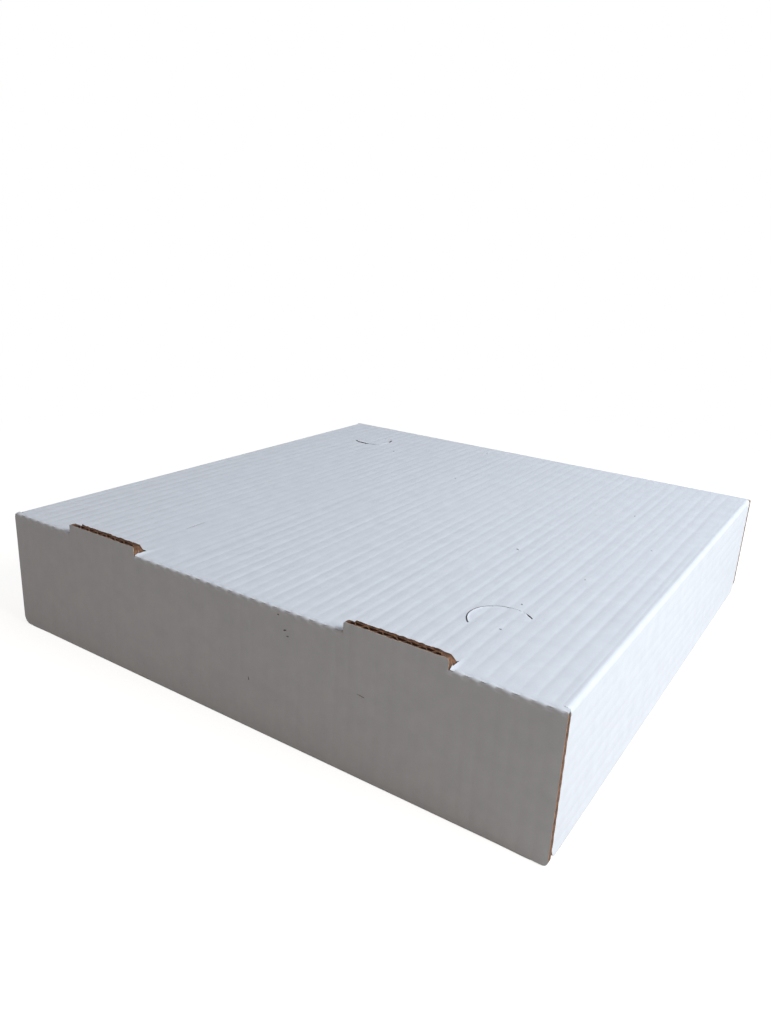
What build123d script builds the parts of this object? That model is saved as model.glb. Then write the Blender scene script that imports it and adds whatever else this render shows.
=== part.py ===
from build123d import *
import os
from math import ceil, floor, hypot, sqrt

# A pizza box of white corrugated board, closed and standing on its base.
# X runs along the hinge wall, Y from the hinge wall to the front, Z up.
# The origin is in the middle of the underside.

# Driving sizes, in millimetres
box_width = 305.0               # over both side flaps
box_depth = 312.0               # from the hinge wall to the front flap
box_height = 63.5               # from the table to the top of the lid
board = 2.8                     # thickness of the corrugated board
layer_gap = 0.3                 # air between boards that lie against each other
fold_inner_radius = 0.6         # inside of a crushed fold
hinge_gap = 0.3                 # between the two mitred edges that meet at a hinge
floor_gap = 0.5                 # hanging edges stop this far above the table

# Section of the board: a fluted medium glued between two liners
flute_pitch = 6.35
liner = 0.35
medium = 0.3
crushed_width = 7.0             # the flutes are pressed flat this far from a crease
cell_shares = ((1, 0), (0.7, 0.15), (0.3, 0.9))     # a cell's half arch, of its half width and height

# Standing tabs at the hinge crease
tab_length = 46.7
tab_height = 4.4                # above the top of the lid
tab_centre = 83.6               # from the middle of the box
tab_corner_radius = 1.0
lock_tab_height = 3.5           # the board behind ends lower
lock_tab_bevel = 2.4
notch_end_gap = 0.6             # between a tab's end and the lid's cut-out
notch_swing_gap = 0.4           # between the lock tab and the lid as it turns

# Half-moon vents, each on the same diagonal of the lid
vent_radius = 14.1
vent_kerf = 0.6
vent_hinge_gap = 0.2
right_vent_inset = 48.3         # from the lid's right edge and its hinge edge
left_vent_inset = 42.0          # from the lid's left edge and its front edge
vent_turn = 45.0                # degrees between the hinge line of a vent and X

# Flaps folded in from the ends of the side walls
rear_flap_end = 55.0            # from the middle of the box to the flap's free end
front_flap_end = 78.0
corner_flap_relief = 9.0        # bevel on the flap's lower free corner

# Lock tabs of the double front wall, in slots of the base
foot_length = 42.0
foot_centre = 84.0
foot_gap = 0.5
foot_recess = 0.4               # foot ends above the table

# Free corners
flap_corner_radius = 6.0
hinge_wall_left_radius = 4.5
hinge_wall_right_radius = 2.0

# Places worked out from the sizes above
overrun = board                 # how far a cut runs past what it cuts
layer = board + layer_gap
fold_radius = board + fold_inner_radius
mitre_inset = hinge_gap / sqrt(2)
half_width = box_width / 2
rear = -box_depth / 2
front = box_depth / 2
tray_side = half_width - layer
tray_front = front - layer
wall_top = box_height - layer
rear_corner_face = rear + layer
front_corner_face = tray_front - layer
inner_wall_face = front_corner_face - layer
inner_wall_back = inner_wall_face - board
straight_half_width = tray_side - fold_radius
notch_depth = hypot(layer + board, lock_tab_height) + notch_swing_gap
vent_flap_radius = vent_radius - vent_kerf
right_vent = (half_width - right_vent_inset, rear + right_vent_inset)
left_vent = (left_vent_inset - half_width, front - left_vent_inset)
sides = (-1, 1)


def block(x_range, y_range, z_range):
    """A straight block between two corners."""
    size = [high - low for low, high in (x_range, y_range, z_range)]
    low_corner = (x_range[0], y_range[0], z_range[0])
    return Pos(*low_corner) * Box(*size, align=Align.MIN)


def bent_board(outer_corners, plane, start, end):
    """Board folded along a path of its outer face, extruded from start to end along the plane's normal.

    The board lies on the left of the path. Every fold is a rounded right angle.
    """
    outer = [Vector(*corner) for corner in outer_corners]
    inward = [(b - a).normalized().rotate(Axis.Z, 90) * board for a, b in zip(outer, outer[1:])]
    inner = [outer[0] + inward[0], outer[-1] + inward[-1]]
    inner[1:1] = [corner + a + b for corner, a, b in zip(outer[1:-1], inward, inward[1:])]
    edges = FilletPolyline(*outer, radius=fold_radius) + FilletPolyline(*inner, radius=fold_inner_radius)
    edges += Line(outer[0], inner[0]) + Line(outer[-1], inner[-1])
    return extrude(plane.offset(start) * make_face(edges), end - start)


def flute_cells(start, across, along, inward, span, depth):
    """Open cells between the medium and the liners, as solids to cut from a board.

    They lie side by side over the span, across the flutes, and run along the flutes to the depth.
    The start lies on the board's outer face, and the thickness goes inward from it.
    The flutes keep their pitch from the middle of the box, so those of the wall and the lid are in line.
    """
    start, across, along, inward = Vector(*start), Vector(*across), Vector(*along), Vector(*inward)
    if across.cross(inward).dot(along) < 0:
        start, across = start + across * span, -across
    half_cell = flute_pitch / 2 - medium
    height = board - 2 * liner - medium
    arch = [(half_cell * x, liner + height * y) for x, y in cell_shares]
    arch += [(-x, y) for x, y in reversed(arch)]
    outer_cell = make_face(Polyline(*arch, close=True))
    inner_cell = make_face(Polyline(*[(x, board - y) for x, y in arch], close=True))
    lead = start.dot(across)
    first = ceil((lead + half_cell) / (flute_pitch / 2))
    last = floor((lead + span - half_cell) / (flute_pitch / 2))
    cells = [
        Pos(i * flute_pitch / 2 - lead) * (inner_cell if i % 2 else outer_cell)
        for i in range(first, last + 1)
    ]
    return extrude(Plane(start, x_dir=across, z_dir=along) * (Sketch() + cells), depth)


def upright_panel(outline, outer_y):
    """A board on edge across the box: its outline is drawn in X and Z, and it lies inward from outer_y."""
    return extrude(Plane.XZ.offset(-outer_y) * outline, -board)


def floor_strip():
    """Hinge wall's foot, base, front wall, roll-over and inner front wall, folded from one straight strip."""
    path = [
        (rear, fold_radius * 2),
        (rear, 0),
        (tray_front, 0),
        (tray_front, wall_top),
        (inner_wall_back, wall_top),
        (inner_wall_back, layer),
    ]
    return bent_board(path, Plane.YZ, -straight_half_width, straight_half_width)


def hinge_wall():
    """Wall across the whole back, with raw ends, a mitred top at the crease and two standing tabs."""
    outline = Pos(0, floor_gap) * Rectangle(box_width, box_height - floor_gap, align=(Align.CENTER, Align.MIN))
    lower = outline.vertices().group_by(Axis.Y)[0].sort_by(Axis.X)
    outline = fillet(lower[0], hinge_wall_left_radius)
    lower = outline.vertices().group_by(Axis.Y)[0].sort_by(Axis.X)
    outline = fillet(lower[-1], hinge_wall_right_radius)
    outline -= Rectangle(2 * straight_half_width, 2 * fold_radius)
    wall = upright_panel(outline, rear)
    crease = Plane.YZ * Polygon(
        (rear, box_height - mitre_inset),
        (rear + board, box_height - mitre_inset - board),
        (rear + board, box_height),
        (rear, box_height),
        align=None,
    )
    wall -= extrude(crease, half_width, both=True)
    for side in sides:
        tab = Rectangle(tab_length, tab_height + layer, align=(Align.CENTER, Align.MAX))
        tab = fillet(tab.vertices().group_by(Axis.Y)[-1], tab_corner_radius)
        wall += upright_panel(Pos(side * tab_centre, box_height + tab_height) * tab, rear)
        tab_end = (side * tab_centre - tab_length / 2, rear, box_height + tab_height)
        wall -= flute_cells(tab_end, (1, 0, 0), (0, 0, -1), (0, 1, 0), tab_length, box_height - crushed_width)
    return wall


def side_wall(side):
    """Side wall with the fold to the base below it and a corner flap at each end.

    The rear flap carries the lock tab.
    """
    path = [
        (side * rear_flap_end, rear_corner_face),
        (side * tray_side, rear_corner_face),
        (side * tray_side, front_corner_face),
        (side * front_flap_end, front_corner_face),
    ]
    if side < 0:
        path.reverse()
    wall = bent_board(path, Plane.XY, fold_radius, wall_top)
    wall -= block(
        sorted((0, side * straight_half_width)),
        (0, front_corner_face + overrun),
        (wall_top - layer, wall_top + overrun),
    )
    fold = Circle(fold_radius) - Circle(fold_inner_radius)
    fold &= Rectangle(fold_radius, fold_radius, align=(Align.MIN if side > 0 else Align.MAX, Align.MAX))
    fold = Plane.XZ * Pos(side * straight_half_width, fold_radius) * fold
    fold_length = front_corner_face - rear_corner_face - 2 * fold_radius
    wall += Pos(0, front_corner_face - fold_radius, 0) * extrude(fold, fold_length)
    lock_tab = Rectangle(tab_length, lock_tab_height + 2 * layer, align=(Align.CENTER, Align.MAX))
    lock_tab = chamfer(lock_tab.vertices().group_by(Axis.Y)[-1], lock_tab_bevel)
    wall += upright_panel(Pos(side * tab_centre, box_height + lock_tab_height) * lock_tab, rear_corner_face)
    for free_end, face, inward in (
        (rear_flap_end, rear_corner_face, 1),
        (front_flap_end, front_corner_face, -1),
    ):
        bevel = Plane.XZ * Polygon(
            (side * free_end, fold_radius),
            (side * (free_end + corner_flap_relief), fold_radius),
            (side * free_end, fold_radius + corner_flap_relief),
            align=None,
        )
        wall -= Pos(0, face, 0) * extrude(bevel, -inward * board)
        raw_edge = (side * free_end, face, fold_radius)
        span, depth = wall_top - layer - fold_radius, tray_side - free_end - crushed_width
        wall -= flute_cells(raw_edge, (0, 0, 1), (side, 0, 0), (0, inward, 0), span, depth)
    return wall


def tray():
    """The folded lower part of the blank, as one sheet."""
    box = floor_strip() + hinge_wall()
    front_ends = Pos(0, wall_top / 2) * Rectangle(2 * tray_side, wall_top - 2 * fold_radius)
    box += extrude(Plane.XZ.offset(-tray_front) * front_ends, board)
    for side in sides:
        box += side_wall(side)
        foot = (side * foot_centre - foot_length / 2, side * foot_centre + foot_length / 2)
        box -= block(
            (foot[0] - foot_gap, foot[1] + foot_gap),
            (inner_wall_back - foot_gap, inner_wall_face + foot_gap),
            (-overrun, board + layer_gap),
        )
        box += block(foot, (inner_wall_back, inner_wall_face), (foot_recess, fold_radius))
    return box


def half_moon(radius, base_gap, centre, turn):
    """Half disc: its straight edge is the vent's hinge line, its arc points to the middle of the lid."""
    moon = Circle(radius) & Pos(0, base_gap) * Rectangle(2 * radius, radius, align=(Align.CENTER, Align.MIN))
    return Pos(*centre) * Rot(0, 0, turn) * moon


def vents(radius, base_gap):
    """Outlines of the right-hand and the left-hand vent."""
    return (
        half_moon(radius, base_gap, right_vent, vent_turn),
        half_moon(radius, base_gap, left_vent, vent_turn + 180),
    )


def lid():
    """Top panel, mitred all round, with the cut-outs for the tabs and the holes of the vents."""
    top = Plane.XY.offset(box_height)
    outline = Rectangle(box_width - 2 * mitre_inset, box_depth - 2 * mitre_inset)
    panel = extrude(top * outline, -board, taper=45)
    for side in sides:
        notch = (side * tab_centre - tab_length / 2, side * tab_centre + tab_length / 2)
        panel -= block(
            (notch[0] - notch_end_gap, notch[1] + notch_end_gap),
            (rear - overrun, rear + notch_depth),
            (box_height - board - overrun, box_height + overrun),
        )
        raw_edge = (notch[0], rear + crushed_width, box_height)
        depth = box_depth - 2 * crushed_width
        panel -= flute_cells(raw_edge, (1, 0, 0), (0, 1, 0), (0, 0, -1), tab_length, depth)
    for moon in vents(vent_radius, 0):
        panel -= extrude(top * moon, board, both=True)
    return panel


def vent_flap(moon):
    """The half disc left standing in its hole, with the flutes of the lid running on through it."""
    flap = extrude(Plane.XY.offset(box_height) * moon, -board)
    low, high = flap.bounding_box().min, flap.bounding_box().max
    raw_edge = (low.X, low.Y, high.Z)
    return flap - flute_cells(raw_edge, (1, 0, 0), (0, 1, 0), (0, 0, -1), high.X - low.X, high.Y - low.Y)


def hanging_flap(length, upright_flutes):
    """Lid flap hanging from a hinge line along X through the origin, with its outer face on Y = 0."""
    drop = box_height - floor_gap
    section = Polygon(
        (0, -mitre_inset),
        (-board, -mitre_inset - board),
        (-board, -drop),
        (0, -drop),
        align=None,
    )
    flap = extrude(Plane.YZ * section, length / 2, both=True)
    lower_corners = flap.edges().filter_by(Axis.Y).group_by(Axis.Z)[0]
    flap = fillet(lower_corners, flap_corner_radius)
    height = drop - crushed_width
    if upright_flutes:
        straight = length - 2 * flap_corner_radius
        raw_edge = (-straight / 2, 0, -drop)
        return flap - flute_cells(raw_edge, (1, 0, 0), (0, 0, 1), (0, -1, 0), straight, height)
    return flap - flute_cells((-length / 2, 0, -drop), (0, 0, 1), (1, 0, 0), (0, -1, 0), height, length)


side_flap_length = tray_front - rear_corner_face
side_flap_middle = (tray_front + rear_corner_face) / 2
side_flap = hanging_flap(side_flap_length, upright_flutes=False)
right_moon, left_moon = vents(vent_flap_radius, vent_hinge_gap)

pieces = {
    "tray": tray(),
    "lid": lid(),
    "front_flap": Pos(0, front, box_height) * hanging_flap(box_width, upright_flutes=True),
    "right_side_flap": Pos(half_width, side_flap_middle, box_height) * Rot(0, 0, -90) * side_flap,
    "left_side_flap": Pos(-half_width, side_flap_middle, box_height) * Rot(0, 0, 90) * side_flap,
    "right_vent_flap": vent_flap(right_moon),
    "left_vent_flap": vent_flap(left_moon),
}

os.makedirs("parts", exist_ok=True)
for name, piece in pieces.items():
    export_step(piece, f"parts/{name}.step")
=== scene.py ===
from math import atan2, cos, degrees, exp, hypot, pi, radians, sin

import bmesh
import bpy
from mathutils import Matrix, Vector, noise


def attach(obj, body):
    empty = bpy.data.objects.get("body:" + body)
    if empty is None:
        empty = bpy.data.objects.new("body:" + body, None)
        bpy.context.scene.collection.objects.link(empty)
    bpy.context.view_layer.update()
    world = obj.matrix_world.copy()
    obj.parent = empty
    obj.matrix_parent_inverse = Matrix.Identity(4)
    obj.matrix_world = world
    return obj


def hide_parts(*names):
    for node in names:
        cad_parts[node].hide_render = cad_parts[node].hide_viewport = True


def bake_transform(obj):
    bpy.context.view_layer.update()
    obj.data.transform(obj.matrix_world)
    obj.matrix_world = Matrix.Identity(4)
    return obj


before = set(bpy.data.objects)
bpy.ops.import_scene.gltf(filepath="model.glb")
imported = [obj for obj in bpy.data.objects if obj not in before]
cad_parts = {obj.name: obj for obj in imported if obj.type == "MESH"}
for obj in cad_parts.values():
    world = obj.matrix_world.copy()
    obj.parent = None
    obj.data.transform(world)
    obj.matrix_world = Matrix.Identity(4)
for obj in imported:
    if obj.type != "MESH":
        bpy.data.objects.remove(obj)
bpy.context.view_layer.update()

# Tray: base, walls and corner flaps of one die-cut blank of B-flute board.
# The outside is a white coated liner, the inside brown kraft, and a fluted medium is glued between them.
# It is folded up and locked without glue, and two tabs stand up from its hinge wall.
BOARD = 2.8                     # thickness, in millimetres, as are all sizes until a piece is finished
FLUTE = 6.35                    # from one flute to the next
WASHBOARD = 0.11                # how far the liner sinks between two flutes
LINER_EDGE = 0.3                # width of the pale line that the cut outer liner makes along a raw edge
HALF_WIDTH = 152.5
CREASE_TOP = 63.5               # height of the lid's upper face
HINGE_WALL = -156.0             # Y of its outer face
WALL_BACK = -153.1              # Y just behind its inner face
LOCK_FLAP = -152.9              # Y of the outer face of the rear corner flaps and their lock tabs
LEVEL_FLUTES_X = 54             # from here outwards, just short of the rear corner flaps' free ends
LEVEL_FLUTES_Y = (146.9, 152.95)    # the corner flaps lie this far from the middle of the box
WALL_SPAN = (4, 57)             # heights between the folds of a wall
BASE_SPAN = (-148, 143)         # Y between the rear corner flaps and the front wall
FOLD = 3.4                      # outer radius of the fold under the hinge wall, before it is pressed squarer
FOLD_END = 146.05               # the fold runs to this X on either side
TABS = ((-106.95, -60.25), (60.25, 106.95))     # from X to X
TAB_HEIGHT = 4.4                # above the crease
LOCK_TAB_PLIES = (-152.8, -151.7, -150.2)       # Y of the papers that stand out in a lock tab's torn top
CREASE_STEPS = (0.25, 0.5, 0.8, 1.1, 1.5, 1.9, 2.4, 3.0, 3.6, 4.2, 4.8, 5.4, 6.2)   # of lines from a crease
TAB_STEPS = (63.9, 64.8, 65.7, 66.4, 67.0, 67.4)    # heights of the lines on the tabs
TAB_TOP_STEPS = (-155.2, -154.4, -153.5, -152.4, -152.0, -151.5, -151.0, -150.6)    # Y of those on their tops
ON_LINE = 0.001                 # a corner this near to a line lies on it
CREASE_RADIUS = 1.1             # of the crushed hinge crease
CRUSHED = 0.2                   # how far a board is sunk beside a crease, under the liner that runs on there
SMOOTH_LIMIT = radians(35)      # an edge that turns further is shaded as a sharp one
WHITE, KRAFT, RAW, MEDIUM, PALE_EDGE = range(5)     # the board's papers, in their order on a piece


def linear(hex_colour):
    """A colour written as sRGB hex, as the renderer wants it."""
    parts = [int(hex_colour[i:i + 2], 16) / 255 for i in (1, 3, 5)]
    return tuple(c / 12.92 if c <= 0.04045 else ((c + 0.055) / 1.055) ** 2.4 for c in parts) + (1.0,)


def add_node(tree, kind, settings=(), links=()):
    """One node, with its properties and sockets set and its inputs linked from (node, output)."""
    node = tree.nodes.new(kind)
    for name, value in dict(settings).items():
        if isinstance(name, int) or name in node.inputs:
            node.inputs[name].default_value = value
        else:
            setattr(node, name, value)
    for socket, (source, output) in dict(links).items():
        tree.links.new(source.outputs[output], node.inputs[socket])
    return node


def paper(name, light, dark, fibre, cloud, roughness, relief):
    """Paper: two tones mottled in clouds a few millimetres wide, with fibres that catch the light.

    Real fibres are about 0.03 mm thick, too fine to show, so they are drawn about half a millimetre wide."""
    material = bpy.data.materials.new(name)
    material.use_nodes = True
    tree = material.node_tree
    tree.nodes.clear()
    place = add_node(tree, "ShaderNodeTexCoord")
    clouds = add_node(tree, "ShaderNodeTexNoise", {"Scale": 1000 / cloud, "Detail": 4.0, "Roughness": 0.6},
                      {"Vector": (place, "Object")})
    fibres = add_node(tree, "ShaderNodeTexNoise", {"Scale": 1000 / fibre, "Detail": 3.0, "Roughness": 0.7},
                      {"Vector": (place, "Object")})
    mottle = add_node(tree, "ShaderNodeMath", {"operation": "MULTIPLY_ADD", 1: 0.5},
                      {0: (fibres, "Fac"), 2: (clouds, "Fac")})
    contrast = add_node(tree, "ShaderNodeMapRange", {"From Min": 0.5, "From Max": 1.0},
                        {"Value": (mottle, 0)})
    tone = add_node(tree, "ShaderNodeMix", {"data_type": "RGBA", 6: linear(dark), 7: linear(light)},
                    {0: (contrast, "Result")})
    bump = add_node(tree, "ShaderNodeBump", {"Strength": 1.0, "Distance": relief / 1000},
                    {"Height": (fibres, "Fac")})
    shine = add_node(tree, "ShaderNodeMapRange", {"To Min": roughness - 0.06, "To Max": roughness + 0.06},
                     {"Value": (clouds, "Fac")})
    shader = add_node(tree, "ShaderNodeBsdfPrincipled", {"IOR": 1.46},
                      {"Base Color": (tone, 2), "Normal": (bump, "Normal"), "Roughness": (shine, "Result")})
    add_node(tree, "ShaderNodeOutputMaterial", {}, {"Surface": (shader, "BSDF")})
    return material


# Coated white top liner: an even, faintly cool matt white with a soft gleam where the light grazes it.
white_liner = paper("white_coated_liner", "#e6e8ec", "#dcdee3", 0.5, 9.0, 0.62, 0.02)
# Kraft liner: warm brown paper with darker clouds and plain fibres, quite dull.
kraft_liner = paper("brown_kraft_liner", "#b8905f", "#9c7449", 0.6, 7.0, 0.85, 0.03)
# Raw die-cut edge: crushed kraft fibres, darker and rougher than the liner's face, with both tones darkened
# further as painted shade.
raw_edge_painted_shade = paper("raw_board_edge_painted_shade", "#93694c", "#2e1d14", 0.7, 2.2, 0.95, 0.15)
# Fluted medium: thin recycled brown paper in the shade of the cells.
fluted_medium = paper("fluted_medium", "#6a4733", "#452d20", 0.5, 3.0, 0.95, 0.06)
# Cut edge of the white liner: bleached fibres over brown ones, so a pale tan line.
liner_cut = paper("cut_liner_edge", "#cbb5a0", "#8f7563", 0.6, 1.8, 0.9, 0.03)
board_papers = (white_liner, kraft_liner, raw_edge_painted_shade, fluted_medium, liner_cut)


def cad_copy(node):
    """A copy of a CAD node's mesh, merged to one skin, in millimetres."""
    bm = bmesh.new()
    bm.from_mesh(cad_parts[node].data)
    bmesh.ops.scale(bm, vec=(1000, 1000, 1000), verts=bm.verts)
    bmesh.ops.remove_doubles(bm, verts=bm.verts, dist=0.01)
    bmesh.ops.dissolve_limit(bm, angle_limit=radians(0.3), verts=bm.verts, edges=bm.edges)
    return bm


def spread_from(start, limit, barred):
    """Faces reached from some others without turning a sharper edge than the limit."""
    found, front = set(start), list(start)
    while front:
        face = front.pop()
        for edge in face.edges:
            for other in edge.link_faces:
                if other in found or other in barred:
                    continue
                if face.normal.angle(other.normal, pi) < limit:
                    found.add(other)
                    front.append(other)
    return found


def tell_papers(bm, outside, inside):
    """Gives each face its paper, from one point on the white side and one on the kraft side.

    Each liner is followed round the board's folds, but not over its raw edges."""
    seeds = []
    for point, behind in ((Vector(outside), Vector(inside)), (Vector(inside), Vector(outside))):
        direction = (point - behind).normalized()
        level = [f for f in bm.faces if f.normal.angle(direction, pi) < 0.1
                 and abs((f.verts[0].co - point).dot(direction)) < 0.05]
        seeds.append(max(level, key=lambda f: f.calc_area()))
    white = spread_from([seeds[0]], radians(60), set())
    kraft = spread_from([seeds[1]], radians(70), white)
    cut = {f for w in white for e in w.edges for f in e.link_faces if f not in white and f not in kraft}
    raw = spread_from(cut, radians(1), white | kraft)
    for face in bm.faces:
        face.material_index = MEDIUM
    for paper_index, faces in ((WHITE, white), (RAW, raw), (KRAFT, kraft)):
        for face in faces:
            face.material_index = paper_index


def score(bm, axis, places, chosen):
    """Scores the chosen faces with parallel lines, so that the board's relief can bend them."""
    direction = Vector((axis == 0, axis == 1, axis == 2))
    starts = [(min(v.co[axis] for v in f.verts), number, f) for number, f in enumerate(chosen)]
    ahead = sorted(starts, reverse=True)
    under = []
    for place in sorted(places):
        while ahead and ahead[-1][0] < place - ON_LINE:
            under.append(ahead.pop()[2])
        crossed = [f for f in under if max(v.co[axis] for v in f.verts) > place + ON_LINE]
        under = []
        if crossed:
            edges = {e for f in crossed for e in f.edges}
            corners = {v for f in crossed for v in f.verts}
            parts = bmesh.ops.bisect_plane(bm, geom=crossed + list(edges) + list(corners), dist=ON_LINE / 2,
                                           plane_co=direction * place, plane_no=direction)["geom"]
            under = [f for f in parts if isinstance(f, bmesh.types.BMFace)]


def steps(low, high, pitch):
    """Places at one pitch, counted from the middle of the box."""
    first = int(low // pitch) + 1
    return [i * pitch for i in range(first, int(high // pitch) + 1) if low < i * pitch < high]


def ease(value):
    """Soft step from 0 to 1."""
    value = min(max(value, 0.0), 1.0)
    return value * value * (3 - 2 * value)


def rough(point, size, seed):
    """Smooth noise from about -1 to 1, with lumps of one size in millimetres."""
    return noise.noise(Vector(point) / size + Vector((seed, seed * 1.7, -seed)))


def washboard(across, along, seed):
    """Depth of the liner over the flutes: narrow valleys, uneven from flute to flute."""
    uneven = 1 + 0.7 * rough((across, along * 0.25, 0), 14, seed)
    return -WASHBOARD * uneven * (0.5 + 0.5 * cos(2 * pi * across / FLUTE)) ** 3


def lift(bm, papers, height):
    """Moves the flat faces of some papers out along their normals by a height worked out at each corner."""
    normals = {}
    for face in bm.faces:
        if face.material_index in papers and max(abs(c) for c in face.normal) > 0.95:
            for vert in face.verts:
                normals[vert] = normals.get(vert, Vector()) + face.normal * face.calc_area()
    moves = [(v, n.normalized()) for v, n in normals.items() if n.length > 0]
    for vert, normal in moves:
        vert.co += normal * height(vert.co, normal)


def round_fold(bm, corner, inward, deep, radius, share_of):
    """Rolls the outer edge of a mitred board over to half of a rounded fold, and sinks it under the liner.

    From the corner, inward leads along the board's face and deep leads into the board."""
    corner, inward, deep = Vector(corner), Vector(inward), Vector(deep)
    for vert in bm.verts:
        run = (vert.co - corner).dot(inward)
        depth = (vert.co - corner).dot(deep)
        if run > 7 or not -0.5 < depth < BOARD - 0.01:
            continue
        share = share_of(vert.co) * (1 - max(depth, 0) / BOARD)
        if share <= 0:
            continue
        run = max(run, 0)
        turn = pi / 4 * max(0, 1 - run / radius)
        new_run = radius - radius * sin(turn) if run < radius else run
        new_depth = radius - radius * cos(turn)
        sink = CRUSHED * ease((radius + 1.0 - run) / 0.7) + 0.03 * ease((radius + 2.6 - run) / 1.2)
        new_run += sink * sin(turn)
        new_depth += sink * cos(turn)
        vert.co += (inward * (new_run - run) + deep * new_depth) * share


def finish_piece(bm, name, node, body, papers=board_papers):
    """Turns a finished skin to metres, hangs it on its body and lets it take a CAD node's place."""
    for edge in bm.edges:
        edge.smooth = edge.is_manifold and edge.calc_face_angle(0) < SMOOTH_LIMIT and (
            edge.link_faces[0].material_index == edge.link_faces[1].material_index)
    for face in bm.faces:
        face.smooth = True
    bmesh.ops.scale(bm, vec=(0.001, 0.001, 0.001), verts=bm.verts)
    mesh = bpy.data.meshes.new(name)
    bm.to_mesh(mesh)
    bm.free()
    for material in papers:
        mesh.materials.append(material)
    piece = bpy.data.objects.new(name, mesh)
    bpy.context.scene.collection.objects.link(piece)
    if body:
        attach(piece, body)
    if node:
        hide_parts(node)
    return piece


def beside_tabs(x, gap):
    """0 within a tab and its gap, 1 beside it."""
    return min([1.0] + [ease((max(low - x, x - high) - gap) / 0.6) for low, high in TABS])


def lies_level(point, normal):
    """Whether the flutes are drawn level here, as on the side walls and the corner flaps.

    The front wall's ends are drawn level too, though real ones stand upright. The lid's flap hides them."""
    near, far = LEVEL_FLUTES_Y
    at_corner_flap = abs(normal.y) > 0.7 and abs(point.x) > LEVEL_FLUTES_X and near < abs(point.y) < far
    return abs(normal.x) > 0.7 or at_corner_flap


def tray_relief(point, normal):
    """Flutes run up the hinge wall and the middle of the front wall, and level elsewhere on the walls."""
    if lies_level(point, normal):
        return washboard(point.z, point.y + point.x, 5.0)
    waves = washboard(point.x, point.z + point.y, 2.0)
    if point.y < WALL_BACK:
        calm = ease((CREASE_TOP - point.z) / 9) if beside_tabs(point.x, 0) > 0.5 else 1
        return waves * (0.15 + 0.5 * calm)
    return waves


def tray_liners(level):
    """The tray's liner faces over level flutes, or over the others."""
    return [f for f in tray_bm.faces if f.material_index in (WHITE, KRAFT)
            and lies_level(f.calc_center_median(), f.normal) == level]


def tray_faces(test):
    """The tray's faces whose middle passes a test."""
    return [f for f in tray_bm.faces if test(f.calc_center_median())]


tray_bm = cad_copy("tray")
tell_papers(tray_bm, (0, 0, 0), (0, 0, BOARD))
score(tray_bm, 0, steps(-HALF_WIDTH, HALF_WIDTH, FLUTE / 6), tray_liners(False))
score(tray_bm, 1, [HINGE_WALL + LINER_EDGE, LOCK_FLAP + LINER_EDGE] + steps(*BASE_SPAN, 24), tray_bm.faces)
wall_steps = [CREASE_TOP - s for s in CREASE_STEPS] + steps(*WALL_SPAN, 6) + list(TAB_STEPS)
score(tray_bm, 2, wall_steps, tray_faces(lambda middle: middle.y < WALL_BACK))
score(tray_bm, 2, steps(*WALL_SPAN, 12), tray_faces(lambda middle: middle.y > BASE_SPAN[1]))
score(tray_bm, 2, steps(*WALL_SPAN, FLUTE / 6), tray_liners(True))
for axis, places in ((0, steps(-110, 110, FLUTE / 12)), (1, TAB_TOP_STEPS)):
    score(tray_bm, axis, places, tray_faces(lambda middle: middle.z > CREASE_TOP + 0.2))
for face in tray_bm.faces:
    y = face.calc_center_median().y
    if face.material_index == RAW and (y < HINGE_WALL + LINER_EDGE
                                       or LOCK_FLAP - 0.05 < y < LOCK_FLAP + LINER_EDGE):
        face.material_index = PALE_EDGE
lift(tray_bm, (WHITE, KRAFT), tray_relief)

# The fold between hinge wall and base is pressed nearly square, most of all at its ends.
for vert in tray_bm.verts:
    out = HINGE_WALL + FOLD - vert.co.y, FOLD - vert.co.z
    if min(out) > 0.05 and hypot(*out) < FOLD + 0.05 and abs(vert.co.x) < FOLD_END:
        square = 0.85 + 0.12 * ease((abs(vert.co.x) - 130) / 15)
        stretch = (hypot(*out) / max(out)) ** (square * ease((hypot(*out) - 0.7) / 2))
        wall_face = HINGE_WALL - tray_relief(vert.co, Vector((0, -1, 0)))
        vert.co.y = max(wall_face, HINGE_WALL + FOLD - out[0] * stretch)
        vert.co.z = max(0, FOLD - out[1] * stretch)
round_fold(tray_bm, (0, HINGE_WALL, CREASE_TOP), (0, 0, -1), (0, 1, 0), CREASE_RADIUS,
           lambda co: beside_tabs(co.x, 0) if co.y < WALL_BACK and co.z < CREASE_TOP + 0.01 else 0)

# The tabs' tops are torn and crushed by the knife. The lock tabs behind came out lower between their papers.
for vert in tray_bm.verts:
    if vert.co.z > CREASE_TOP + 0.3:
        height = (vert.co.z - CREASE_TOP) / TAB_HEIGHT
        torn = 0.5 + 0.6 * rough((vert.co.x, vert.co.y * 3, 0), 2.6, 4.0) + 0.4 * rough(vert.co, 0.9, 9.0)
        torn = max(torn, 0)
        if vert.co.y > WALL_BACK:
            from_ply = min(abs(vert.co.y - ply) for ply in LOCK_TAB_PLIES)
            vert.co.z -= height * (0.7 * torn + 1.1 * ease(from_ply / 0.5))
        else:
            vert.co.z -= 0.4 * height * torn
        from_end = min(abs(vert.co.x - place) for tab in TABS for place in tab)
        vert.co.x += 0.3 * rough((0, vert.co.y, vert.co.z), 0.9, 7.0) * ease(1 - from_end) * height
        moved = vert.co.y + 0.12 * rough((vert.co.x, vert.co.y * 2, 0), 2.4, 6.0) * height
        vert.co.y = max(HINGE_WALL, moved)
finish_piece(tray_bm, "folded_tray", "tray", "tray")

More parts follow.
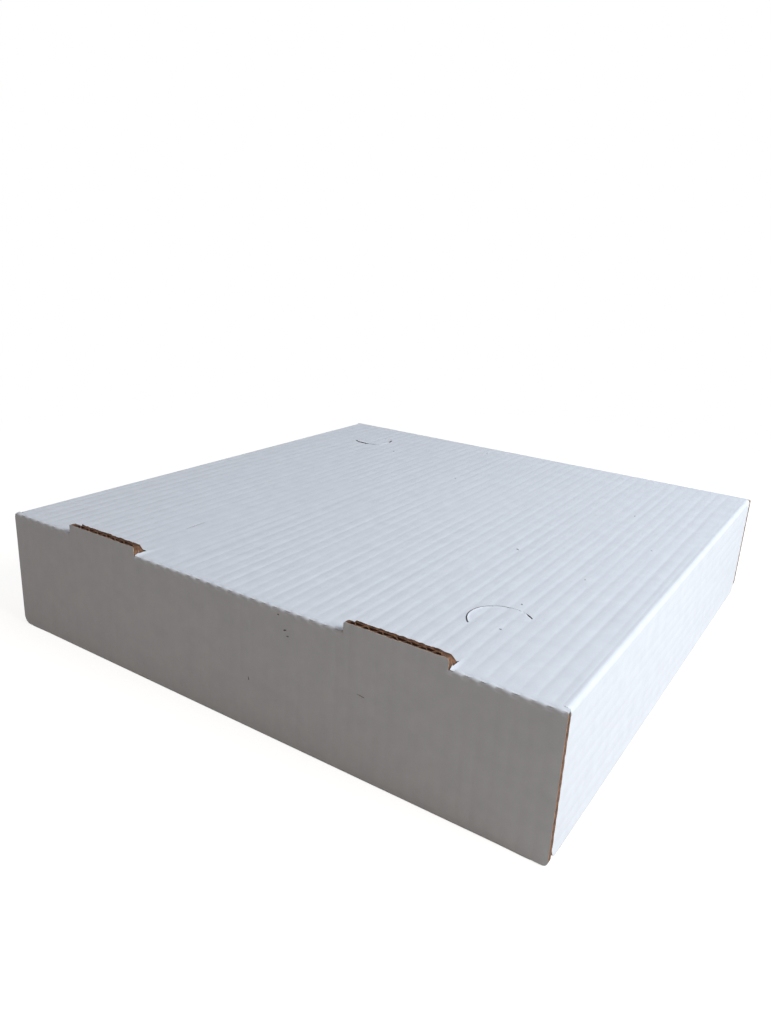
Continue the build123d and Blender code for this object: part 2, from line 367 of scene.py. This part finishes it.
# Lid: the top panel of the same blank, hinged at a crushed crease over the hinge wall.
# Its liner shows the flutes as a washboard, with a few deeper lines where flutes were pressed in.
# Two cut-outs at the crease take the tabs, and two half-moons are die-cut as vents.
LID_EDGE = 156.0                # Y of the lid's front edge, and -Y of its crease
LID_FOLD = 2.2                  # radius of the folds to the lid's flaps
LID_GROOVES = (                 # place in X, depth, half width, from Y, to Y
    (-40.0, 0.14, 1.5, -156, 156),
    (-141.2, 0.07, 1.2, -120, 90),
    (-78.7, 0.05, 1.2, -150, 60),
    (-54.0, 0.05, 1.2, -140, 100),
    (14.9, 0.04, 1.2, -150, 40),
    (98.0, 0.10, 1.3, 127, 156),
    (103.4, 0.07, 1.3, 46, 145),
    (108.9, 0.07, 1.3, -60, 30),
    (139.0, 0.06, 1.4, -150, 120),
)
DENT = (85, 131, 9, 7, 0.25)    # x, y, half length, half width, depth
LIP = 0.6                       # height of the liner's burr at the right-hand end of each cut-out
LIP_WIDTH = 2.6
VENT_HOLE = 14.1                # radius
VENT_MIDDLES = ((104.2, -107.7), (-110.5, 114.0))
VENT_TURNS = (135, -45)         # degrees from +X to the way the arc faces
VENT_STEP = 0.8                 # between the lines scored across a vent
RAISED_RIM = (-44, -4, 0.5)     # beside the left vent: from angle, to angle, height
RIM_WIDTH = 1.3


def spoke_to(point, middle):
    """Way from a vent's middle to a point, as seen from above."""
    return Vector((point.x - middle[0], point.y - middle[1], 0))


def arc_facing(turn):
    """The way a vent's arc faces."""
    return Vector((cos(radians(turn)), sin(radians(turn)), 0))


def lid_relief(point, normal):
    """Washboard, pressed lines, the burrs at the cut-outs, the dent and the rim that was lifted at a vent."""
    edge = min(HALF_WIDTH - abs(point.x), LID_EDGE - abs(point.y))
    height = washboard(point.x, point.y, 1.0) * (1.1 - 0.3 * point.x / HALF_WIDTH)
    height *= 0.15 + 0.85 * ease((edge - 1.5) / 6)
    if point.y < -146:
        lip = sum(LIP * ease(1 - (point.x - high) / LIP_WIDTH) for low, high in TABS
                  if high < point.x < high + LIP_WIDTH)
        height += lip * ease((-146 - point.y) / 4) * ease((point.y + 156.3) / 2) * (1 if normal.z > 0 else -1)
    if normal.z > 0:
        for place, depth, half, start, end in LID_GROOVES:
            across = (point.x - place - 0.5 * rough((point.y, 0, place), 40, 3.0)) / half
            if abs(across) < 2.5:
                run = ease((point.y - start) / 12) * ease((end - point.y) / 12)
                height -= depth * run * exp(-across * across)
        x, y, half_length, half_width, depth = DENT
        height -= depth * ease(1 - hypot((point.x - x) / half_length, (point.y - y) / half_width) / 1.6)
        (x, y), (low, high, rise) = VENT_MIDDLES[1], RAISED_RIM
        away = hypot(point.x - x, point.y - y) - VENT_HOLE
        if -0.05 < away < RIM_WIDTH:
            angle = degrees(atan2(point.y - y, point.x - x))
            height += rise * ease(1 - away / RIM_WIDTH) * ease((angle - low) / 14) * ease((high - angle) / 14)
        height += 0.4 * rough((point.x, point.y, 0), 120, 8.0) * ease(edge / 30)
        height += 0.03 * rough((point.x, point.y * 0.4, 0), 9, 5.0) * ease(edge / 10)
    return height


lid_bm = cad_copy("lid")
tell_papers(lid_bm, (0, 0, CREASE_TOP), (0, 0, CREASE_TOP - BOARD))
side_steps = [s * (HALF_WIDTH - c) for c in CREASE_STEPS for s in (-1, 1)]
end_steps = [s * (LID_EDGE - c) for c in CREASE_STEPS for s in (-1, 1)]
for sheet, pitch in ((WHITE, FLUTE / 10), (KRAFT, FLUTE / 5)):
    sheet_faces = [f for f in lid_bm.faces if f.material_index == sheet]
    score(lid_bm, 0, steps(-147, 147, pitch) + side_steps, sheet_faces)
score(lid_bm, 1, steps(-149, 149, 8) + end_steps, lid_bm.faces)
score(lid_bm, 2, [CREASE_TOP - LINER_EDGE], lid_bm.faces)
for middle in VENT_MIDDLES:
    near_vent = [f for f in lid_bm.faces if f.material_index == WHITE
                 and (f.calc_center_median().xy - Vector(middle)).length < 22]
    score(lid_bm, 1, [middle[1] + i * VENT_STEP for i in range(-22, 23)], near_vent)
for face in lid_bm.faces:
    centre = face.calc_center_median()
    if face.material_index == RAW and centre.z > CREASE_TOP - LINER_EDGE and abs(centre.y) > 130:
        face.material_index = PALE_EDGE

# The holes for the vents are made truly round, and straight at their hinge side.
for middle, turn in zip(VENT_MIDDLES, VENT_TURNS):
    arc = arc_facing(turn)
    rim = [v for v in lid_bm.verts if (v.co.xy - Vector(middle)).length < VENT_HOLE + 0.5]
    bmesh.ops.remove_doubles(lid_bm, verts=rim, dist=0.13)
    for vert in lid_bm.verts:
        spoke = spoke_to(vert.co, middle)
        if spoke.length < VENT_HOLE + 0.2 and any(f.material_index >= RAW for f in vert.link_faces):
            if spoke.length > VENT_HOLE - 0.2:
                vert.co += spoke.normalized() * (VENT_HOLE - spoke.length)
            elif abs(spoke.dot(arc)) < 0.3:
                vert.co -= arc * spoke.dot(arc)
lift(lid_bm, (WHITE, KRAFT), lid_relief)
round_fold(lid_bm, (0, HINGE_WALL, CREASE_TOP), (0, 1, 0), (0, 0, -1), CREASE_RADIUS,
           lambda co: beside_tabs(co.x, 0.6))
round_fold(lid_bm, (0, LID_EDGE, CREASE_TOP), (0, -1, 0), (0, 0, -1), LID_FOLD, lambda co: 1)
for side in (-1, 1):
    round_fold(lid_bm, (side * HALF_WIDTH, 0, CREASE_TOP), (-side, 0, 0), (0, 0, -1), LID_FOLD,
               lambda co: ease((co.y + 153.4) / 0.6))
finish_piece(lid_bm, "lid_panel", "lid", "lid")

# Lid flaps: they fold down from the lid along its front and both sides, outside the tray's walls.
# The front flap's flutes stand upright and show as open cells in its lower edge.
# The side flaps' flutes lie along the box and show in their ends.
FLAPS = (                       # node, a point on its outer face, the way it faces
    ("front_flap", (0, LID_EDGE, 30), (0, 1, 0)),
    ("right_side_flap", (HALF_WIDTH, 0, 30), (1, 0, 0)),
    ("left_side_flap", (-HALF_WIDTH, 0, 30), (-1, 0, 0)),
)
LOW_STEPS = [0.9, 1.6, 2.6, 4.0]    # heights of lines beside the front flap's open cells


def front_relief(point, normal):
    """Washboard over upright flutes, calm near the crease."""
    return washboard(point.x, point.z, 11.0) * ease((CREASE_TOP - 2 - point.z) / 7)


def side_relief(point, normal):
    """Washboard over level flutes, calm near the crease."""
    return washboard(point.z, point.y, 12.0) * ease((CREASE_TOP - 2 - point.z) / 7)


for node, face_point, facing in FLAPS:
    face_point, facing = Vector(face_point), Vector(facing)
    if node == "front_flap":
        run_axis, facing_axis, run_pitch, height_pitch = 0, 1, FLUTE / 8, 6
        low_steps, relief = LOW_STEPS, front_relief
    else:
        run_axis, facing_axis, run_pitch, height_pitch = 1, 0, 6, FLUTE / 8
        low_steps, relief = [], side_relief
    flap_bm = cad_copy(node)
    tell_papers(flap_bm, face_point, face_point - facing * BOARD)
    score(flap_bm, run_axis, steps(-HALF_WIDTH, HALF_WIDTH, run_pitch), flap_bm.faces)
    score(flap_bm, 2, [CREASE_TOP - c for c in CREASE_STEPS] + steps(1, 56, height_pitch) + low_steps,
          flap_bm.faces)
    liner_back = face_point - facing * LINER_EDGE
    score(flap_bm, facing_axis, [liner_back[facing_axis]], flap_bm.faces)
    for face in flap_bm.faces:
        if face.material_index == RAW and (face.calc_center_median() - liner_back).dot(facing) > 0:
            face.material_index = PALE_EDGE
    lift(flap_bm, (WHITE, KRAFT), relief)
    round_fold(flap_bm, (face_point.x, face_point.y, CREASE_TOP), (0, 0, -1), -facing, LID_FOLD, lambda co: 1)
    finish_piece(flap_bm, node + "_panel", node, node)

# Vents: half-moons cut through the lid, left standing in their cuts and joined along a straight uncut line.
# They push in with a finger. The knife left a thin slit that gapes where the half-moon has dropped a little.
VENTS = (                       # node, sag, parts of the rim that curl: from angle, to angle, height
    ("right_vent_flap", 0.2, ((142, 242, 0.1), (86, 242, 0.25), (36, 70, -0.35))),
    ("left_vent_flap", 0.0, ((-132, -68, 0.45), (-90, -34, 0.12), (0, 36, 0.4))),
)
VENT_RADIUS = 14.07             # a hair less than its hole's
VENT_RIM = 13.3                 # what lies further out belongs to the half-moon's cut rim
WIDEST_GAPE = 0.55
for (node, sag, gape), middle, turn in zip(VENTS, VENT_MIDDLES, VENT_TURNS):
    vent_bm = cad_copy(node)
    tell_papers(vent_bm, (*middle, CREASE_TOP), (*middle, CREASE_TOP - BOARD))
    score(vent_bm, 0, steps(middle[0] - 15, middle[0] + 15, FLUTE / 10), vent_bm.faces)
    score(vent_bm, 1, [middle[1] + i * VENT_STEP for i in range(-18, 19)], vent_bm.faces)
    bmesh.ops.remove_doubles(vent_bm, verts=vent_bm.verts, dist=0.13)
    arc = arc_facing(turn)
    for vert in vent_bm.verts:
        away = spoke_to(vert.co, middle).dot(arc)
        if away < 0.35:
            vert.co -= arc * (away + 0.04)
    lift(vent_bm, (WHITE, KRAFT), lid_relief)
    for vert in vent_bm.verts:
        spoke = spoke_to(vert.co, middle)
        away = spoke.dot(arc)
        angle = turn + (degrees(atan2(spoke.y, spoke.x)) - turn + 180) % 360 - 180
        curl = sum(h * ease((angle - low) / 14) * ease((high - angle) / 14) for low, high, h in gape)
        if away < 0.3:
            vert.co.z -= 0.01
        elif spoke.length > VENT_RIM:
            new_radius = VENT_RADIUS - min(1.5 * abs(curl), WIDEST_GAPE)
            vert.co += spoke.normalized() * (new_radius - spoke.length)
        vert.co.z += curl * ease((spoke.length - VENT_RIM + 1) / 1.5) * ease(away / 3)
        vert.co.z -= sag * ease((angle - 76) / 30) * ease(away / 8)
    finish_piece(vent_bm, node + "_half_moon", node, node)

# Crease liners: at each hinge crease the boards are crushed and the white liner folds on round the corner.
# Each is one skin here, as thin as the paper, laid round the closed crease; it does not move with the boards.
LINER = 0.2                     # thickness
CREASE_REACH = 1.7              # how far a crease liner runs on over the boards, past the rounded fold
CREASE_DIP = 0.07               # how far it dips into the boards there


def turn_and_thicken(bm, outward):
    """Turns the faces of a liner's upper side outwards and gives it its thickness."""
    bmesh.ops.recalc_face_normals(bm, faces=bm.faces)
    if sum(f.normal.dot(outward) for f in bm.faces) < 0:
        bmesh.ops.reverse_faces(bm, faces=bm.faces)
    bmesh.ops.solidify(bm, geom=list(bm.faces), thickness=LINER)


def crease_liner(name, corner, down, across, runs, radius, scallop, reliefs):
    """White liner over a crease. Down and across lead from the corner along the two boards.

    Runs are its stretches from tab to tab, and scallop is how far it sinks between the flutes."""
    corner, down, across = Vector(corner), Vector(down), Vector(across)
    run_way = Vector([abs(c) for c in down.cross(across)])
    bm = bmesh.new()
    reach, arc = radius + CREASE_REACH, radius * pi / 4
    for start, end in runs:
        columns = max(4, int((end - start) / 0.8))
        grid = bmesh.ops.create_grid(bm, x_segments=columns, y_segments=36, size=0.5)
        for vert in grid["verts"]:
            run = start + (vert.co.x + 0.5) * (end - start)
            along = vert.co.y * 2 * (reach - radius + arc)
            turn = pi / 4 * max(0, 1 - abs(along) / arc)
            near = abs(along) - arc + radius if abs(along) > arc else radius - radius * sin(turn)
            deep = radius - radius * cos(turn)
            wave = scallop * (0.5 + 0.5 * cos(2 * pi * run / FLUTE)) ** 2
            wave *= 1 + 0.6 * rough((run, 0, 0), 9, 14.0)
            wave += 0.2 * scallop * (1 + rough((run, 0, 0), 7, 12.0))
            sunk = CREASE_DIP * ease((near - reach + 1.3) / 1.3) + wave * ease(1.15 - near / (radius + 1.2))
            first, second = (down, across) if along < 0 else (across, down)
            relief = reliefs[0] if along < 0 else reliefs[1]
            spot = corner + run_way * run + first * near
            sunk -= relief(spot, -second) * ease((near - 1) / 1.2)
            vert.co = spot + first * sunk * sin(turn) + second * (deep + sunk * cos(turn))
    turn_and_thicken(bm, -(down + across))
    piece = finish_piece(bm, name, None, None, (white_liner,))
    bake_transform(piece)


side_span = ((-152.8, 152.8),)
crease_liner("hinge_crease_liner", (0, HINGE_WALL, CREASE_TOP), (0, 0, -1), (0, 1, 0),
             ((-152.4, -107.2), (-60.0, 60.0), (107.2, 152.4)), CREASE_RADIUS, 0.5, (tray_relief, lid_relief))
crease_liner("front_crease_liner", (0, LID_EDGE, CREASE_TOP), (0, -1, 0), (0, 0, -1),
             ((-152.0, 152.0),), LID_FOLD, 0.08, (lid_relief, front_relief))
crease_liner("right_crease_liner", (HALF_WIDTH, 0, CREASE_TOP), (-1, 0, 0),
             (0, 0, -1), side_span, LID_FOLD, 0, (lid_relief, side_relief))
crease_liner("left_crease_liner", (-HALF_WIDTH, 0, CREASE_TOP), (1, 0, 0),
             (0, 0, -1), side_span, LID_FOLD, 0, (lid_relief, side_relief))

# Vent liners: the half-moons' straight sides are not cut, so there the white liner runs on from the lid.
# It lies just under the surface, and does not move when a half-moon is pushed in.
VENT_LINER = (26.4, 1.8)        # length along the uncut side, and width
VENT_LINER_DIP = 0.06           # how far it lies under the lid's face
for (node, sag, gape), middle, turn in zip(VENTS, VENT_MIDDLES, VENT_TURNS):
    arc = arc_facing(turn)
    hinge_way = Vector((-arc.y, arc.x, 0))
    centre = Vector((*middle, 0))
    length, width = VENT_LINER
    strip_bm = bmesh.new()
    bmesh.ops.create_grid(strip_bm, x_segments=34, y_segments=8, size=0.5)
    for vert in strip_bm.verts:
        vert.co = centre + hinge_way * vert.co.x * length - arc * vert.co.y * width
        vert.co.z = CREASE_TOP - VENT_LINER_DIP + lid_relief(vert.co, Vector((0, 0, 1)))
    turn_and_thicken(strip_bm, Vector((0, 0, 1)))
    strip = finish_piece(strip_bm, node + "_liner", None, None, (white_liner,))
    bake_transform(strip)

# Specks: small dark flecks of board dust and scuffs that cling to the white liner.
# Each is a thin ragged chip, mostly sunk into the liner of the lid or of the hinge wall.
FLECK = 0.12                    # thickness
LID_SPECKS = (                  # x, y, half length, half width, turn
    (-79.8, 95.5, 0.9, 0.35, 100), (-26.8, 139.5, 1.2, 0.3, 110), (-11.9, 64.6, 0.8, 0.3, 115),
    (104.9, 68.2, 0.7, 0.3, 100), (129.6, 16.5, 0.5, 0.35, 0), (75.0, -27.8, 0.9, 0.4, 150),
    (116.2, -43.2, 0.4, 0.3, 0), (107.7, -114.8, 0.6, 0.4, 0), (104.6, -87.7, 0.7, 0.4, 140),
)
WALL_SPECKS = (                 # x, height, half length, half width, turn
    (10.4, 25.6, 1.7, 0.7, 120), (31.1, 54.6, 0.9, 0.35, 15), (32.6, 52.2, 0.7, 0.25, 10),
    (27.5, 60.6, 0.5, 0.3, 0), (70.3, 38.5, 2.6, 0.15, -8), (-122.9, 38.7, 0.5, 0.3, 0),
)

# Board dust: ground brown and bleached fibres, so a dull grey-brown.
dust = paper("brown_board_dust", "#8d8782", "#6d655e", 0.4, 0.8, 0.9, 0.02)


def flecks(name, body, spots, place):
    """Thin ragged flecks lying on a liner."""
    bm = bmesh.new()
    for number, (a, b, long, wide, turn) in enumerate(spots):
        outline = bmesh.ops.create_circle(bm, cap_ends=True, segments=9, radius=1)["verts"]
        for vert in outline:
            vert.co *= 1 + 0.35 * rough(vert.co + Vector((number * 9, 0, 0)), 0.7, 2.0)
        bmesh.ops.scale(bm, vec=(long, wide, 1), verts=outline)
        bmesh.ops.rotate(bm, cent=(0, 0, 0), matrix=Matrix.Rotation(radians(turn), 3, "Z"), verts=outline)
        bmesh.ops.translate(bm, vec=(a, b, 0), verts=outline)
    skin = bmesh.ops.extrude_face_region(bm, geom=list(bm.faces))["geom"]
    bmesh.ops.translate(bm, vec=(0, 0, FLECK), verts=[v for v in skin if isinstance(v, bmesh.types.BMVert)])
    for vert in bm.verts:
        vert.co = place(vert.co)
    bmesh.ops.recalc_face_normals(bm, faces=bm.faces)
    finish_piece(bm, name, None, body, (dust,))


def on_lid(co):
    """Lays a fleck on the lid."""
    return Vector((co.x, co.y, CREASE_TOP - 0.08 + co.z + lid_relief(co, Vector((0, 0, 1)))))


def on_hinge_wall(co):
    """Lays a fleck on the hinge wall."""
    return Vector((co.x, HINGE_WALL + 0.13 - co.z, co.y))


flecks("lid_flecks", "lid", LID_SPECKS, on_lid)
flecks("wall_flecks", "tray", WALL_SPECKS, on_hinge_wall)

# Floor: a plain matt painted table under the box.
# It shows white to the camera, keeps the box's soft shadow, and throws a dim warm light up the walls.
# Away from the box the shadow's grey fades out to plain white.
TABLE = 12                      # half its width, in metres
SHADOW_NEAR = 0.25              # from the middle of the box, the shadow shows in full up to here
SHADOW_FAR = 0.6                # and not at all from here on
floor_bm = bmesh.new()
bmesh.ops.create_grid(floor_bm, x_segments=1, y_segments=1, size=TABLE)
floor_mesh = bpy.data.meshes.new("floor")
floor_bm.to_mesh(floor_mesh)
floor_bm.free()
floor = bpy.data.objects.new("floor", floor_mesh)
bpy.context.scene.collection.objects.link(floor)


def seen_ray(tree):
    """1 for rays that show a background, to the camera or in a shine, and 0 for those that light the box."""
    ray = add_node(tree, "ShaderNodeLightPath")
    return add_node(tree, "ShaderNodeMath", {"operation": "MAXIMUM"},
                    {0: (ray, "Is Camera Ray"), 1: (ray, "Is Glossy Ray")})


# Matt floor paint: warm grey to the light, lifted to white for the camera.
floor_paint = bpy.data.materials.new("matt_floor_paint")
floor_paint.use_nodes = True
tree = floor_paint.node_tree
tree.nodes.clear()
seen = seen_ray(tree)
spot = add_node(tree, "ShaderNodeTexCoord")
far = add_node(tree, "ShaderNodeVectorMath", {"operation": "LENGTH"}, {0: (spot, "Object")})
fade = add_node(tree, "ShaderNodeMapRange", {"From Min": SHADOW_NEAR, "From Max": SHADOW_FAR},
                {"Value": (far, "Value")})
shade = add_node(tree, "ShaderNodeBsdfDiffuse", {"Color": linear("#a8a199")})
glow = add_node(tree, "ShaderNodeEmission", {"Color": linear("#ffffff"), "Strength": 0.86})
plain = add_node(tree, "ShaderNodeEmission", {"Color": linear("#ffffff"), "Strength": 1.0})
near = add_node(tree, "ShaderNodeAddShader", {}, {0: (shade, 0), 1: (glow, 0)})
bright = add_node(tree, "ShaderNodeMixShader", {}, {0: (fade, "Result"), 1: (near, 0), 2: (plain, 0)})
pick = add_node(tree, "ShaderNodeMixShader", {}, {0: (seen, 0), 1: (shade, 0), 2: (bright, 0)})
add_node(tree, "ShaderNodeOutputMaterial", {}, {"Surface": (pick, 0)})
floor_mesh.materials.append(floor_paint)

# Light: a round soft lamp at the right-hand end of the box, and a wide cool one high over its far side.
# A dim warm room fills in from all round, and is plain white to the camera.
LAMPS = (                       # name, place and aim in metres, width, power, colour
    ("window", (1.05, -0.02, 0.70), (0.0, 0.0, 0.05), 0.7, 14.3, "#f2f9ff"),
    ("sky_sheet", (0.55, 0.75, 1.5), (0.1, 0.25, 0.0), 1.7, 8, "#bfe0ff"),
)
world = bpy.data.worlds.new("studio")
bpy.context.scene.world = world
world.use_nodes = True
tree = world.node_tree
tree.nodes.clear()
seen = seen_ray(tree)
room = add_node(tree, "ShaderNodeBackground", {"Color": linear("#cfc3ba"), "Strength": 0.33})
white = add_node(tree, "ShaderNodeBackground", {"Color": linear("#ffffff"), "Strength": 1.0})
pick = add_node(tree, "ShaderNodeMixShader", {}, {0: (seen, 0), 1: (room, 0), 2: (white, 0)})
add_node(tree, "ShaderNodeOutputWorld", {}, {"Surface": (pick, 0)})
for name, place, aim, width, power, colour in LAMPS:
    lamp = bpy.data.lights.new(name, "AREA")
    lamp.shape = "DISK"
    lamp.size = width
    lamp.energy = power
    lamp.color = linear(colour)[:3]
    holder = bpy.data.objects.new(name, lamp)
    holder.location = place
    holder.rotation_euler = (Vector(aim) - Vector(place)).to_track_quat("-Z", "Y").to_euler()
    bpy.context.scene.collection.objects.link(holder)

# Camera: a wide lens, held low over the floor off the hinge wall's right-hand end, as for the photograph.
# It looks across the box to its far left corner, tipped down by 18 degrees and leaning by 3.
CAMERA_PLACE = (0.22424, -0.38586, 0.20763)     # metres
CAMERA_TURN = (71.442, -2.871, 33.616)          # degrees about X, Y and Z
camera_data = bpy.data.cameras.new("camera")
camera_data.lens = 28.451
camera_data.sensor_width = 36
camera_data.sensor_fit = "AUTO"
camera_data.clip_start = 0.01
camera = bpy.data.objects.new("camera", camera_data)
camera.location = CAMERA_PLACE
camera.rotation_euler = [radians(angle) for angle in CAMERA_TURN]
bpy.context.scene.collection.objects.link(camera)
bpy.context.scene.camera = camera
bpy.context.scene.view_settings.view_transform = "Standard"
